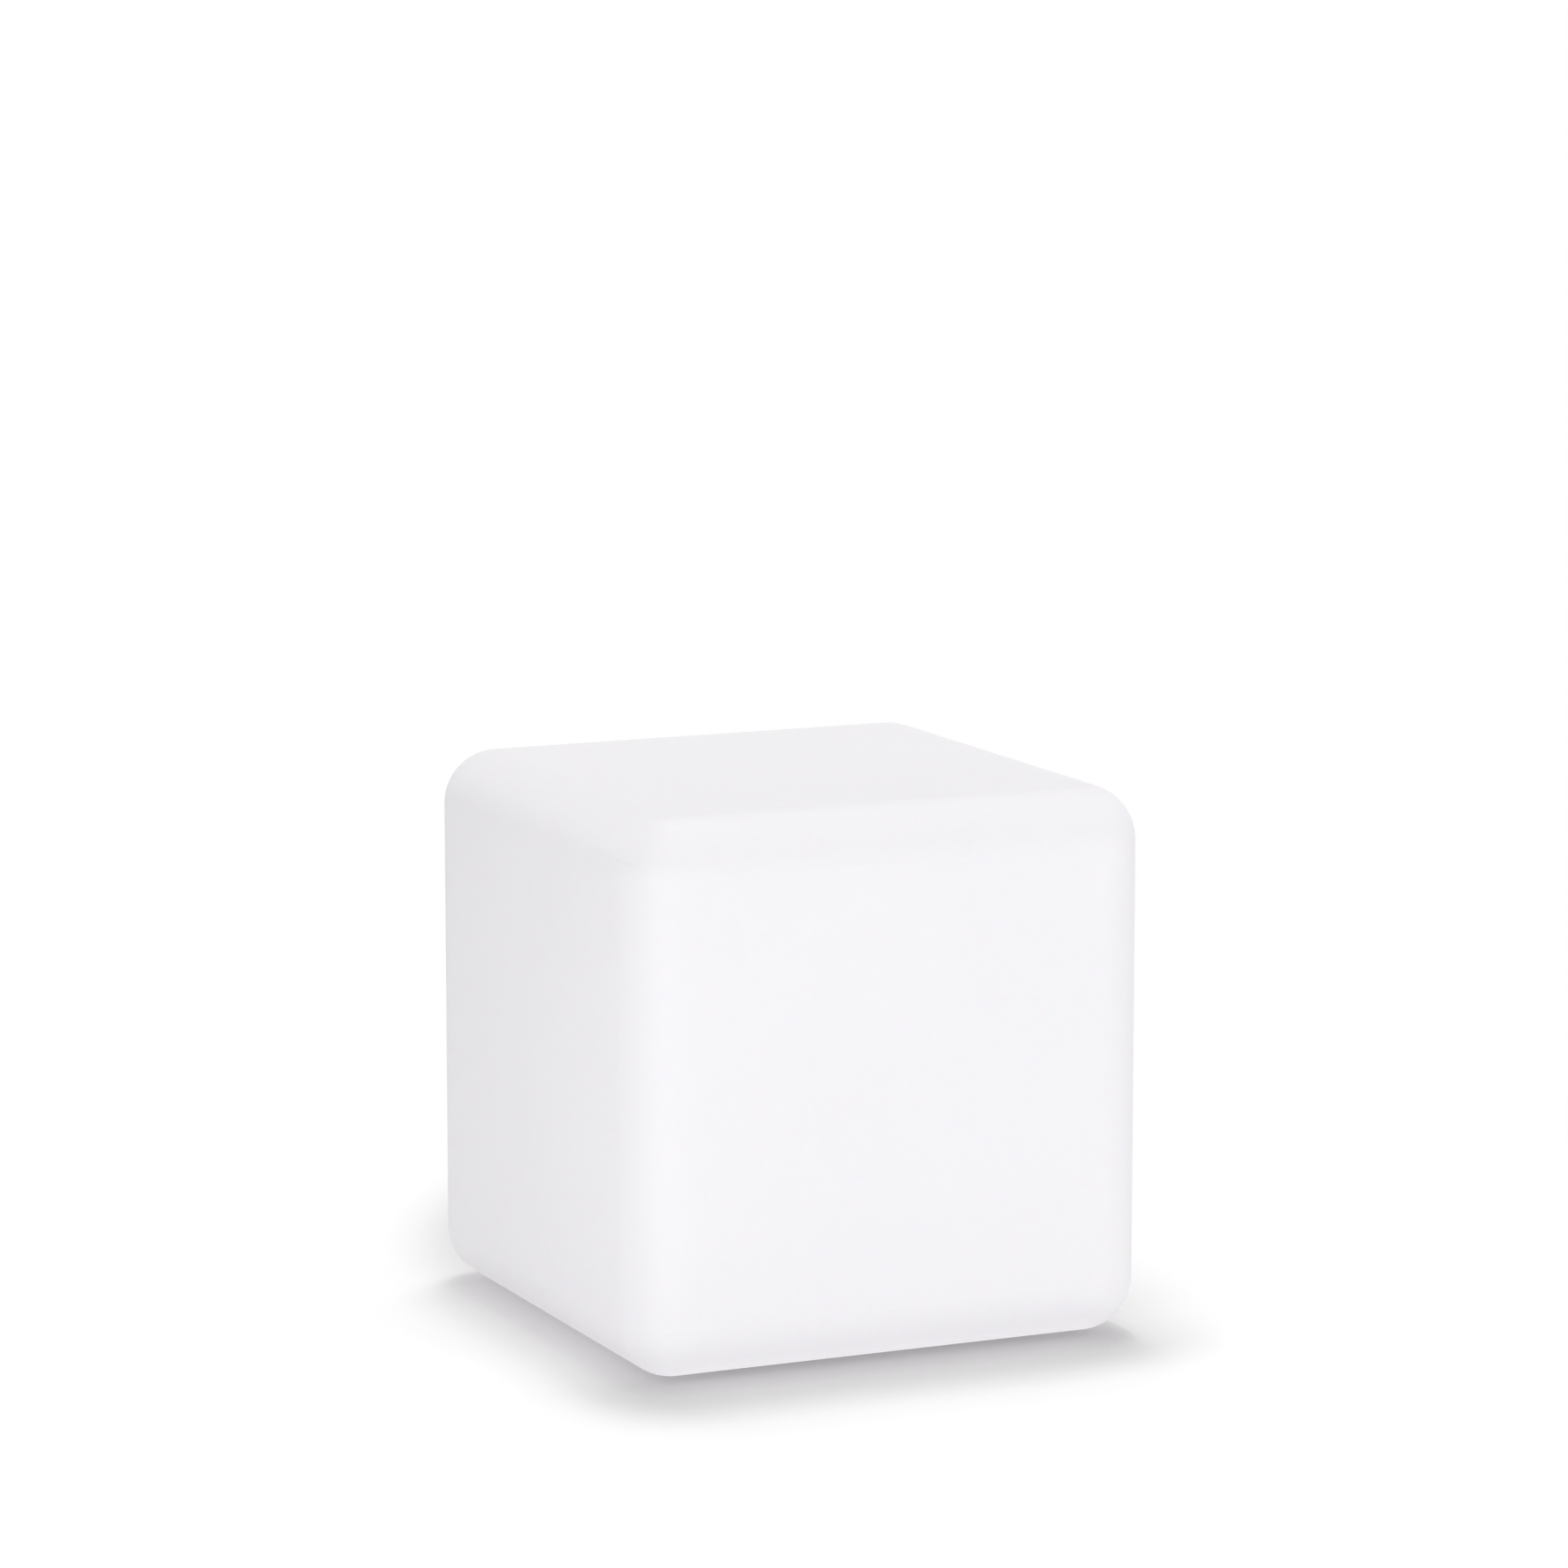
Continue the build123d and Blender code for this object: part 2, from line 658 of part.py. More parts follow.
write(bracket_screws, "bracket_screws")

# Nipple, its nut and toothed washer under the bracket

toothed_low = BRACKET_TOP - BRACKET_T - TOOTHED_T

with BuildPart() as holder_nipple:
    with BuildSketch(level(NIPPLE_LOW)):
        Circle(NIPPLE_R)
        Circle(NIPPLE_BORE_R, mode=Mode.SUBTRACT)
    extrude(amount=NIPPLE_HIGH - NIPPLE_LOW)
write(holder_nipple, "holder_nipple")

with BuildPart() as nipple_nut:
    with BuildSketch(level(toothed_low - NIPPLE_NUT_T)):
        RegularPolygon(NIPPLE_NUT_AF / 2, 6, major_radius=False)
        Circle(NIPPLE_R + SCREWED, mode=Mode.SUBTRACT)
    extrude(amount=NIPPLE_NUT_T)
write(nipple_nut, "nipple_nut")

with BuildPart() as toothed_washer:
    with BuildSketch(level(toothed_low)):
        Circle(TOOTHED_R)
        Circle(NIPPLE_R + RUN, mode=Mode.SUBTRACT)
        with PolarLocations(TOOTHED_R, TOOTH_COUNT):
            Rectangle(2 * TOOTH_GAP_DEPTH, TOOTH_GAP_WIDTH, mode=Mode.SUBTRACT)
    extrude(amount=TOOTHED_T)
write(toothed_washer, "toothed_washer")

# Lampholder: cap, core with its two contacts and terminals, threaded sleeve

neck_top = BRACKET_TOP + HOLDER_NECK_H
cone_top = neck_top + HOLDER_CONE_H
cap_floor = NIPPLE_HIGH + HOLDER_THREAD_ROOM

with BuildPart() as holder_cap:
    with BuildSketch(Plane.XZ):
        with BuildLine():
            Polyline(
                (NIPPLE_R + SCREWED, BRACKET_TOP),
                (HOLDER_NECK_R, BRACKET_TOP),
                (HOLDER_NECK_R, neck_top),
                (HOLDER_R, cone_top),
                (HOLDER_R, CORE_HIGH),
                (HOLDER_CAVITY_R, CORE_HIGH),
                (HOLDER_CAVITY_R, CORE_LOW),
                (HOLDER_CAVITY_R - HOLDER_LEDGE, CORE_LOW),
                (HOLDER_CAVITY_R - HOLDER_LEDGE, cone_top + 1),
                (NIPPLE_BORE_R, cap_floor + HOLDER_FLOOR_T),
                (NIPPLE_BORE_R, cap_floor),
                (NIPPLE_R + SCREWED, cap_floor),
                close=True,
            )
        make_face()
    revolve(axis=Axis.Z)
write(holder_cap, "holder_cap")

TERMINAL_SPOTS = [(-TERMINAL_X, 0), (TERMINAL_X, 0)]
terminal_low = CORE_LOW - TERMINAL_DROP
terminal_high = CORE_LOW + TERMINAL_SUNK
terminal_screw_z = terminal_low + TERMINAL_SCREW_UP
TERMINAL_SCREW_SPOTS = [(x, terminal_screw_z) for x, _ in TERMINAL_SPOTS]
lead_hole_r = LEAD_R + LEAD_HOLE_GAP

with BuildPart() as holder_core:
    with BuildSketch(level(CORE_LOW)):
        Circle(HOLDER_CORE_R)
    extrude(amount=CORE_HIGH - CORE_LOW)
    with BuildSketch(level(CORE_LOW)):
        with Locations(*TERMINAL_SPOTS):
            Rectangle(TERMINAL_W, TERMINAL_DEPTH)
    extrude(amount=terminal_high - CORE_LOW, mode=Mode.SUBTRACT)
write(holder_core, "holder_core")

with BuildPart() as holder_terminals:
    with BuildSketch(level(terminal_low)):
        with Locations(*TERMINAL_SPOTS):
            Rectangle(TERMINAL_W, TERMINAL_DEPTH)
    extrude(amount=terminal_high - terminal_low)
    # Blind hole for the lead from below, and cross hole for the screw
    with BuildSketch(level(terminal_low)):
        with Locations(*TERMINAL_SPOTS):
            Circle(lead_hole_r)
    extrude(amount=TERMINAL_HOLE, mode=Mode.SUBTRACT)
    with BuildSketch(Plane.XZ):
        with Locations(*TERMINAL_SCREW_SPOTS):
            Circle(TERMINAL_SCREW_R + SCREWED)
    extrude(amount=TERMINAL_DEPTH / 2, mode=Mode.SUBTRACT)
write(holder_terminals, "holder_terminals")

with BuildPart() as holder_terminal_screws:
    with BuildSketch(Plane.XZ.offset(lead_hole_r)):
        with Locations(*TERMINAL_SCREW_SPOTS):
            Circle(TERMINAL_SCREW_R)
    extrude(amount=TERMINAL_DEPTH / 2 - lead_hole_r)
    with BuildSketch(Plane.XZ.offset(TERMINAL_DEPTH / 2)):
        with Locations(*TERMINAL_SCREW_SPOTS):
            Circle(TERMINAL_HEAD_R)
    extrude(amount=TERMINAL_HEAD_T)
    with BuildSketch(Plane.XZ.offset(TERMINAL_DEPTH / 2 + TERMINAL_HEAD_T)):
        with Locations(*TERMINAL_SCREW_SPOTS):
            Rectangle(2 * TERMINAL_HEAD_R, TERMINAL_SLOT)
    extrude(amount=-TERMINAL_SLOT_DEPTH, mode=Mode.SUBTRACT)
write(holder_terminal_screws, "holder_terminal_screws")

leaf_mid = CORE_HIGH + LEAF_T / 2
tongue_mid = BULB_TIP - RUN - LEAF_T / 2

with BuildPart() as centre_contact:
    with BuildSketch(Plane.XZ):
        with BuildLine() as leaf:
            leaf_heights = (leaf_mid, leaf_mid, tongue_mid, tongue_mid)
            FilletPolyline(*zip(CENTRE_LEAF_X, leaf_heights), radius=CENTRE_LEAF_BEND)
        trace(leaf.line, LEAF_T)
    extrude(amount=LEAF_W / 2, both=True)
write(centre_contact, "centre_contact")

with BuildPart() as side_contact:
    with BuildSketch(Plane.XZ):
        with BuildLine() as leaf:
            FilletPolyline(
                (SIDE_LEAF_X[0], leaf_mid),
                (SIDE_LEAF_X[1], leaf_mid),
                (SIDE_LEAF_X[1], BULB_TIP + TIP_RIM),
                (SIDE_LEAF_X[2], BULB_TIP + SLEEVE_SHOULDER - LEAF_T),
                radius=SIDE_LEAF_BEND,
            )
        trace(leaf.line, LEAF_T)
    extrude(amount=LEAF_W / 2, both=True)
write(side_contact, "side_contact")

sleeve_low = CORE_HIGH
sleeve_shoulder = BULB_TIP + SLEEVE_SHOULDER
sleeve_top = BULB_TIP + SLEEVE_TOP
thread_low = BULB_TIP + BULB_THREAD_LOW

with BuildPart() as holder_sleeve:
    with BuildSketch(Plane.XZ):
        with BuildLine():
            Polyline(
                (HOLDER_CAVITY_R, sleeve_low),
                (HOLDER_R, sleeve_low),
                (HOLDER_R, sleeve_top - SLEEVE_CHAMFER),
                (HOLDER_R - SLEEVE_CHAMFER, sleeve_top),
                (SLEEVE_BORE_R + SLEEVE_MOUTH_CHAMFER, sleeve_top),
                (SLEEVE_BORE_R, sleeve_top - SLEEVE_MOUTH_CHAMFER),
                (SLEEVE_BORE_R, sleeve_shoulder),
                (HOLDER_CAVITY_R, sleeve_shoulder),
                close=True,
            )
        make_face()
    revolve(axis=Axis.Z)
    with BuildSketch(level(sleeve_low + FLUTE_END)):
        with PolarLocations(HOLDER_R + FLUTE_OUT, GRIP_FLUTES):
            Circle(FLUTE_R)
    extrude(amount=sleeve_top - sleeve_low - 2 * FLUTE_END, mode=Mode.SUBTRACT)
    # Rounded ridge of the E27 thread, midway between the turns of the bulb's
    with BuildLine():
        helix = Helix(
            THREAD_PITCH,
            SLEEVE_THREAD_TURNS * THREAD_PITCH,
            SLEEVE_THREAD_CENTRE,
            center=(0, 0, thread_low + THREAD_PITCH / 2),
        )
    with BuildSketch(Plane(origin=helix @ 0, z_dir=helix % 0)):
        Circle(SLEEVE_THREAD_R)
    sweep(path=helix, is_frenet=True)
write(holder_sleeve, "holder_sleeve")

# Bulb: tip contact, insulator, threaded cap, housing, driver, LEDs and globe

with BuildPart() as bulb_tip_contact:
    with BuildSketch(Plane.XZ):
        with BuildLine():
            crown = ThreePointArc(
                (0, BULB_TIP), (TIP_MID_R, BULB_TIP + TIP_MID), (TIP_R, BULB_TIP + TIP_RIM)
            )
            Polyline(crown @ 1, (TIP_R, BULB_TIP + TIP_T), (0, BULB_TIP + TIP_T), crown @ 0)
        make_face()
    revolve(axis=Axis.Z)
write(bulb_tip_contact, "bulb_tip_contact")

cap_edge = BULB_TIP + CAP_EDGE
cap_rim = BULB_TIP + CAP_RIM

with BuildPart() as bulb_insulator:
    with BuildSketch(Plane.XZ):
        with BuildLine():
            Polyline(
                (0, BULB_TIP + TIP_T + RUN),
                (TIP_R + RUN, BULB_TIP + TIP_T + RUN),
                (TIP_R + RUN, BULB_TIP + INSULATOR_LOW),
                (INSULATOR_LOW_R, BULB_TIP + INSULATOR_LOW),
                (INSULATOR_HIGH_R, cap_edge),
                (CAP_BORE_R, cap_edge),
                (CAP_BORE_R, cap_edge + INSULATOR_INSIDE),
                (0, cap_edge + INSULATOR_INSIDE),
                close=True,
            )
        make_face()
    revolve(axis=Axis.Z)
write(bulb_insulator, "bulb_insulator")

with BuildPart() as bulb_cap:
    with BuildSketch(Plane.XZ):
        with BuildLine():
            Polyline(
                (CAP_BORE_R, cap_edge),
                (BULB_ROOT_R - CAP_EDGE_CHAMFER, cap_edge),
                (BULB_ROOT_R, cap_edge + CAP_EDGE_RISE),
                (BULB_ROOT_R, cap_rim - CAP_FLARE),
                (BULB_ROOT_R + CAP_FLARE, cap_rim),
                (CAP_BORE_R, cap_rim),
                close=True,
            )
        make_face()
    revolve(axis=Axis.Z)
    with BuildLine():
        helix = Helix(
            THREAD_PITCH, BULB_THREAD_TURNS * THREAD_PITCH, BULB_ROOT_R, center=(0, 0, thread_low)
        )
    with BuildSketch(Plane(origin=helix @ 0, z_dir=helix % 0)):
        Circle(BULB_THREAD_R)
    sweep(path=helix, is_frenet=True)
write(bulb_cap, "bulb_cap")

globe_mid = BULB_TIP + GLOBE_CENTRE
globe_low = BULB_TIP + GLOBE_LOW
globe_rim_r = sqrt(GLOBE_R**2 - (globe_mid - globe_low) ** 2)
board_low = globe_low - BOARD_DROP
board_seat_r = BOARD_R + BOARD_GAP

with BuildPart() as bulb_housing:
    with BuildSketch(Plane.XZ):
        with BuildLine():
            skirt = Line(
                (BULB_ROOT_R + HOUSING_LIP, cap_rim),
                (BULB_ROOT_R + HOUSING_SKIRT, cap_rim + HOUSING_SKIRT_H),
            )
            flare = Spline(
                skirt @ 1,
                (globe_rim_r, globe_low),
                tangents=[skirt % 1, (globe_mid - globe_low, globe_rim_r)],
            )
            Polyline(
                flare @ 1,
                (globe_rim_r - HOUSING_RIM_T, globe_low),
                (board_seat_r, board_low + BOARD_T),
                (board_seat_r, board_low),
                (BOARD_R - BOARD_LEDGE, board_low),
                (HOUSING_BORE_R, cap_rim + HOUSING_NECK_H),
                (HOUSING_BORE_R, cap_rim),
                skirt @ 0,
            )
        make_face()
    revolve(axis=Axis.Z)
write(bulb_housing, "bulb_housing")

# Driver board on edge in the housing's neck, with a capacitor and a coil
driver_low = cap_edge + DRIVER_UP

with BuildPart() as bulb_driver:
    with BuildSketch(level(driver_low)):
        Rectangle(DRIVER_W, DRIVER_T)
    extrude(amount=DRIVER_H)
    with BuildSketch(level(driver_low + CAPACITOR_UP, 0, CAPACITOR_Y)):
        Circle(CAPACITOR_R)
    extrude(amount=CAPACITOR_H)
    with BuildSketch(level(driver_low + COIL_UP, 0, COIL_Y)):
        Rectangle(COIL_X, COIL_DEPTH)
    extrude(amount=COIL_H)
write(bulb_driver, "bulb_driver")

with BuildPart() as bulb_led_board:
    with BuildSketch(level(board_low)):
        Circle(BOARD_R)
        with Locations((BOARD_HOLE_X, 0), (-BOARD_HOLE_X, 0)):
            Circle(BOARD_HOLE_R, mode=Mode.SUBTRACT)
    extrude(amount=BOARD_T)
write(bulb_led_board, "bulb_led_board")

with BuildPart() as bulb_leds:
    with BuildSketch(level(board_low + BOARD_T)):
        with PolarLocations(LED_RING_R, LED_RING_COUNT):
            Rectangle(LED_SIZE, LED_SIZE)
        Rectangle(LED_SIZE, LED_SIZE)
    extrude(amount=LED_T)
write(bulb_leds, "bulb_leds")

with BuildPart() as bulb_globe:
    with BuildSketch(Plane.XZ):
        with BuildLine():
            outer_from = (globe_rim_r, globe_low)
            outer_over = (GLOBE_R * sqrt(0.5), globe_mid + GLOBE_R * sqrt(0.5))
            outer = ThreePointArc(outer_from, outer_over, (0, globe_mid + GLOBE_R))
            inside_r = GLOBE_R - GLOBE_T
            inside_rim_r = sqrt(inside_r**2 - (globe_mid - globe_low) ** 2)
            inside_over = (inside_r * sqrt(0.5), globe_mid + inside_r * sqrt(0.5))
            inner = ThreePointArc((0, globe_mid + inside_r), inside_over, (inside_rim_r, globe_low))
            Line(outer @ 1, inner @ 0)
            Line(inner @ 1, outer @ 0)
        make_face()
    revolve(axis=Axis.Z)
write(bulb_globe, "bulb_globe")

# Terminal block with its clamps and screws

pole_z = DOME_TOP + POLE_Z
block_top = DOME_TOP + BLOCK_H
clamp_screw_low = pole_z + lead_hole_r
clamp_screw_top = block_top - CLAMP_SCREW_SUNK
POLE_SPOTS = [(-POLE_X, pole_z), (POLE_X, pole_z)]
CLAMP_SPOTS = [
    (x, BLOCK_Y + y) for x in (-POLE_X, POLE_X) for y in (-CLAMP_SCREW_Y, CLAMP_SCREW_Y)
]

with BuildPart() as terminal_block:
    with BuildSketch(level(DOME_TOP, 0, BLOCK_Y)):
        RectangleRounded(BLOCK_X, BLOCK_DEPTH, BLOCK_CORNER_R)
    extrude(amount=BLOCK_H - BLOCK_TOWER_H)
    # Two towers over each pole
    with BuildSketch(level(DOME_TOP)):
        with Locations(*CLAMP_SPOTS):
            Circle(BLOCK_TOWER_R)
    extrude(amount=BLOCK_H)
    with BuildSketch(facing_back(BLOCK_Y - BLOCK_DEPTH / 2)):
        with Locations(*POLE_SPOTS):
            Circle(CLAMP_R + SCREWED)
    extrude(amount=BLOCK_DEPTH, mode=Mode.SUBTRACT)
    with BuildSketch(level(pole_z)):
        with Locations(*CLAMP_SPOTS):
            Circle(BLOCK_SHAFT_R)
    extrude(amount=BLOCK_H, mode=Mode.SUBTRACT)
    with BuildSketch(level(DOME_TOP, 0, BLOCK_Y)):
        Circle(BLOCK_FIXING_R)
    extrude(amount=BLOCK_H, mode=Mode.SUBTRACT)
write(terminal_block, "terminal_block")

with BuildPart() as terminal_clamps:
    with BuildSketch(facing_back(BLOCK_Y - CLAMP_LENGTH / 2)):
        with Locations(*POLE_SPOTS):
            Circle(CLAMP_R)
        with Locations(*POLE_SPOTS):
            Circle(CLAMP_BORE_R, mode=Mode.SUBTRACT)
    extrude(amount=CLAMP_LENGTH)
    with BuildSketch(level(pole_z)):
        with Locations(*CLAMP_SPOTS):
            Circle(CLAMP_THREAD_R)
    extrude(amount=CLAMP_R, mode=Mode.SUBTRACT)
write(terminal_clamps, "terminal_clamps")

with BuildPart() as terminal_screws:
    with BuildSketch(level(clamp_screw_low)):
        with Locations(*CLAMP_SPOTS):
            Circle(CLAMP_SCREW_R)
    extrude(amount=clamp_screw_top - clamp_screw_low)
    with BuildSketch(level(clamp_screw_top)):
        with Locations(*CLAMP_SPOTS):
            Rectangle(2 * CLAMP_R, DRIVER_SLOT)
    extrude(amount=-DRIVER_SLOT_DEPTH, mode=Mode.SUBTRACT)
write(terminal_screws, "terminal_screws")

fixing_seat = block_top - BLOCK_TOWER_H

with BuildPart() as block_screw:
    with BuildSketch(level(fixing_seat, 0, BLOCK_Y)):
        Circle(FIXING_HEAD_R)
    extrude(amount=FIXING_HEAD_T)
    with BuildSketch(level(blind_tip, 0, BLOCK_Y)):
        Circle(FIXING_SHANK_R)
    extrude(amount=fixing_seat - blind_tip)
    with BuildSketch(level(fixing_seat + FIXING_HEAD_T, 0, BLOCK_Y)):
        Rectangle(2 * FIXING_HEAD_R, DRIVER_SLOT)
    extrude(amount=-DRIVER_SLOT_DEPTH, mode=Mode.SUBTRACT)
write(block_screw, "block_screw")

# Leads from the terminal block, up through the nipple, to the lampholder


def lead_route(side):
    """Corner points of one lead, on the side of x given by the sign."""
    return [
        Vector(side * POLE_X, BLOCK_Y, pole_z),
        Vector(side * POLE_X, BLOCK_Y + LEAD_RUNS_Y[0], pole_z),
        Vector(side * LEAD_BEND_X, BLOCK_Y + LEAD_RUNS_Y[1], pole_z + LEAD_BEND_RISE),
        Vector(side * LEAD_X, 0, NIPPLE_LOW - LEAD_NIPPLE_LOW),
        Vector(side * LEAD_X, 0, NIPPLE_HIGH + LEAD_NIPPLE_HIGH),
        Vector(side * TERMINAL_X, 0, terminal_low - LEAD_TERMINAL_LOW),
        Vector(side * TERMINAL_X, 0, terminal_low + LEAD_TERMINAL_IN),
    ]


def bend_radii(points):
    """Largest practical radius at each corner of a route."""
    radii = []
    for before, corner, after in zip(points, points[1:], points[2:]):
        run_in = corner - before
        run_out = after - corner
        shorter = min(run_in.length, run_out.length)
        radii.append(0.45 * shorter / tan(radians(run_in.get_angle(run_out)) / 2))
    return radii


for name, side in (("lead_live", -1), ("lead_neutral", 1)):
    corners = lead_route(side)
    with BuildPart() as lead:
        with BuildLine():
            route = FilletPolyline(*corners, radius=bend_radii(corners))
        with BuildSketch(Plane(origin=route @ 0, z_dir=route % 0)):
            Circle(LEAD_R)
        sweep(path=route)
    write(lead, name)
    print(
        name,
        "radii",
        [round(radius, 1) for radius in bend_radii(corners)],
        "volume over section times length",
        round(lead.part.volume / (pi * LEAD_R**2 * route.length), 4),
    )
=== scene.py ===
"""Cube garden lamp: its finishes, the studio and the camera, in metres."""

import json
from math import cos, pi, radians, sin

import bmesh
import bpy
from mathutils import Matrix, Vector


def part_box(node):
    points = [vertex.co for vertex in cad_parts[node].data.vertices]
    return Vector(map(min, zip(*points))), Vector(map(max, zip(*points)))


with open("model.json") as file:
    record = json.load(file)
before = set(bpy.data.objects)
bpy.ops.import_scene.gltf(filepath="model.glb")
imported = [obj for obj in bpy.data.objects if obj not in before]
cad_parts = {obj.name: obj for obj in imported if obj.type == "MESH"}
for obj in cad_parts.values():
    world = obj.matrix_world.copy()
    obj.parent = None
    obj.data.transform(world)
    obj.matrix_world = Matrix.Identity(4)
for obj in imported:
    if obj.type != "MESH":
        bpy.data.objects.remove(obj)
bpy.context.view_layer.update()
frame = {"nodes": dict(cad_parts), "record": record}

SCENE = bpy.context.scene
SHELL_LOW, SHELL_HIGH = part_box("cube_shell")
SHELL_MID = (SHELL_LOW + SHELL_HIGH) / 2
EDGE = SHELL_HIGH.z - SHELL_LOW.z
HALF = EDGE / 2
SHELL_R = 0.04
MICRON = 1e-6

# The photograph: its frame, and the camera that was fitted to the cube's outline
PHOTO_PX = 1772
FOCAL_PX = 6869
CUBE_CENTRE_PX = (885.8, 1170.4)
CAMERA_BEARING = -24.32
CAMERA_TURN = radians(CAMERA_BEARING)
CAMERA_TILT = radians(9.14)
CAMERA_DEPTH = 11.139 * EDGE
SENSOR_MM = 36

# Sockets of the mix node that carry colours: the two that go in and the one that comes out
MIX_FIRST, MIX_SECOND, MIX_OUT = 6, 7, 2


class Tree:
    """A node tree under construction."""

    def __init__(self, tree):
        self.nodes = tree.nodes
        self.links = tree.links

    def feed(self, socket, value):
        """Link an output to a socket, or set the socket to a plain value."""
        if isinstance(value, bpy.types.NodeSocket):
            self.links.new(value, socket)
        else:
            socket.default_value = value

    def node(self, kind, sockets, **settings):
        """A new node with its settings, and with its sockets fed by name or number."""
        added = self.nodes.new("ShaderNode" + kind)
        for setting, value in settings.items():
            setattr(added, setting, value)
        for key, value in sockets.items():
            self.feed(added.inputs[key], value)
        return added

    def maths(self, operation, *values):
        return self.node("Math", dict(enumerate(values)), operation=operation).outputs["Value"]

    def seen(self):
        """1 on the rays that look at things: from the camera, in a reflection or through glass."""
        kind = self.node("LightPath", {}).outputs
        bent = self.maths("MAXIMUM", kind["Is Glossy Ray"], kind["Is Transmission Ray"])
        return self.maths("MAXIMUM", kind["Is Camera Ray"], bent)

    def mix_shaders(self, factor, first, second):
        return self.node("MixShader", {0: factor, 1: first, 2: second}).outputs[0]


class Finish(Tree):
    """A material under construction, on the object's own coordinates."""

    def __init__(self, name, **uniform):
        self.material = bpy.data.materials.new(name)
        self.material.use_nodes = True
        super().__init__(self.material.node_tree)
        self.shader = self.nodes["Principled BSDF"]
        self.place = self.node("TexCoord", {}).outputs["Object"]
        for socket, value in uniform.items():
            self.shader.inputs[socket.replace("_", " ")].default_value = value

    def xyz(self):
        axes = self.node("SeparateXYZ", {"Vector": self.place}).outputs
        return axes["X"], axes["Y"], axes["Z"]

    def stretch(self, scale):
        """The object's coordinates, scaled along each axis."""
        return self.node("Mapping", {"Vector": self.place, "Scale": scale}).outputs["Vector"]

    def noise(self, scale, detail=2.0, roughness=0.5, place=None):
        """Soft random pattern from 0 to 1, its scale in waves to the metre."""
        sockets = {
            "Vector": place or self.place,
            "Scale": scale,
            "Detail": detail,
            "Roughness": roughness,
        }
        return self.node("TexNoise", sockets).outputs["Fac"]

    def cells(self, scale):
        """Pattern of small cells, 0 in the middle of each."""
        return self.node("TexVoronoi", {"Vector": self.place, "Scale": scale}).outputs["Distance"]

    def product(self, first, *others):
        for other in others:
            first = self.maths("MULTIPLY", first, other)
        return first

    def step(self, value, zero_at, one_at):
        """Smooth step from 0 to 1 between two values, in either direction."""
        sockets = {"Value": value, "From Min": zero_at, "From Max": one_at}
        return self.node("MapRange", sockets, interpolation_type="SMOOTHSTEP").outputs["Result"]

    def span(self, value, low, high):
        """The 0 to 1 value spread between low and high."""
        return self.node("MapRange", {"Value": value, "To Min": low, "To Max": high}).outputs["Result"]

    def between(self, value, low, high, soft):
        """1 where low < value < high, falling to 0 over the soft margin."""
        return self.product(self.step(value, low - soft, low), self.step(value, high + soft, high))

    def length(self, vector):
        return self.node("VectorMath", {0: vector}, operation="LENGTH").outputs["Value"]

    def near(self, point, radius, soft):
        """1 within the radius of a point, falling to 0 over the soft margin."""
        away = self.node("VectorMath", {0: self.place, 1: point}, operation="DISTANCE")
        return self.step(away.outputs["Value"], radius + soft, radius)

    def past_core(self, *spans):
        """Distance from the core of a rounded cube or square, its edge radius at the surface."""
        total = 0.0
        for along, middle in spans:
            off = self.maths("ABSOLUTE", self.maths("SUBTRACT", along, middle))
            past = self.maths("MAXIMUM", self.maths("SUBTRACT", off, HALF - SHELL_R), 0.0)
            total = self.maths("MULTIPLY_ADD", past, past, total)
        return self.maths("SQRT", total)

    def oval(self, centre, turn, size):
        """0 in the middle of an oval on the ground, 1 on its outline."""
        sockets = {"Vector": self.place, "Location": centre, "Rotation": (0, 0, turn), "Scale": size}
        return self.length(self.node("Mapping", sockets, vector_type="TEXTURE").outputs["Vector"])

    def thread(self, axis, pitch):
        """Height of a right-hand screw thread around an upright axis."""
        x, y, z = self.xyz()
        angle = self.maths("ARCTAN2", self.maths("SUBTRACT", y, axis.y), self.maths("SUBTRACT", x, axis.x))
        turns = self.maths("SUBTRACT", self.maths("DIVIDE", z, pitch), self.maths("DIVIDE", angle, 2 * pi))
        return self.maths("PINGPONG", turns, 0.5)

    def blend(self, factor, first, second):
        """Mix of two colours."""
        sockets = {"Factor": factor}
        for key, colour in ((MIX_FIRST, first), (MIX_SECOND, second)):
            sockets[key] = colour if isinstance(colour, bpy.types.NodeSocket) else (*colour, 1)
        return self.node("Mix", sockets, data_type="RGBA").outputs[MIX_OUT]

    def colour(self, pattern, first, second):
        """Base colour that goes from the first to the second as the pattern goes from 0 to 1."""
        self.feed(self.shader.inputs["Base Color"], self.blend(pattern, first, second))

    def roughness(self, pattern, low, high):
        """Roughness that goes from low to high as the pattern goes from 0 to 1."""
        self.feed(self.shader.inputs["Roughness"], self.span(pattern, low, high))

    def relief(self, *layers):
        """Stack of bumps: (0 to 1 height, depth in metres) each."""
        normal = None
        for height, depth in layers:
            bump = self.node("Bump", {"Distance": depth, "Height": height})
            if normal:
                self.feed(bump.inputs["Normal"], normal)
            normal = bump.outputs["Normal"]
        self.feed(self.shader.inputs["Normal"], normal)


# The shell's whites: cloudy between two of them, with a brighter one in its grain
CLOUD_WHITES = ((0.905, 0.876, 0.903), (0.930, 0.902, 0.929))
GRAIN_WHITE = (0.945, 0.919, 0.943)
GRAIN_SHARE = 0.5
# Its inner skin is painted whiter, a painted light for what passes through the wall; it begins within
# these depths
INNER_SKIN = (0.0015, 0.0025)
INNER_PAINTED_LIGHT = (0.955, 0.95, 0.945)

# Marks that the mould left on the shell: how grey they are, and how strongly each shows
MARK_GREY = (0.72, 0.70, 0.71)
VENT_TINT = 0.03
VENT_SINK = 0.15
LINE_TINT = 0.09
